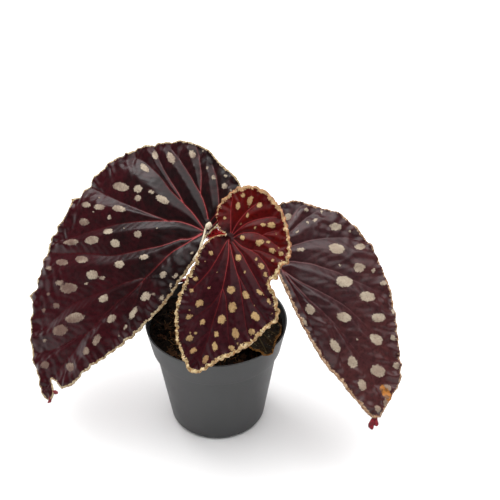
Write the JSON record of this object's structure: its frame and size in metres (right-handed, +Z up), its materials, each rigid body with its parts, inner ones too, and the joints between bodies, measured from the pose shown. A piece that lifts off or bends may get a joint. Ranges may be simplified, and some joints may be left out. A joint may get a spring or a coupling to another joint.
{
  "type": "potted begonia",
  "caption": "Potted begonia with large wing-shaped dark red leaves, pale spots and crinkled cream margins, in a plain grey nursery pot.",
  "frame": {"origin": "centre of the pot's flat base, on the surface it stands on", "axes": "+Z up; the picture's viewer stands on the -Y side, with +X to the right"},
  "size_m": [0.3114, 0.1782, 0.238],
  "materials": {
    "pot_plastic": "matt moulded plastic",
    "soil": "damp dark peat with fibres",
    "rhizome": "rough brown skin",
    "stalk": "red, hairy",
    "leaf": "soft satin, dark maroon with cream spots and margin",
    "young_leaf": "soft satin, deep red with golden spots and margin",
    "withered_leaf": "limp, dark olive brown"
  },
  "bodies": {
    "root": {"pot": "pot_plastic", "soil": "soil", "rhizome": "rhizome", "petiole_left": "stalk", "petiole_front": "stalk", "petiole_right": "stalk", "petiole_old": "stalk", "petiole_withered": "withered_leaf", "leaf_left": "leaf", "leaf_right": "leaf", "leaf_front": "young_leaf", "leaf_withered": "withered_leaf"}
  },
  "joints": []
}
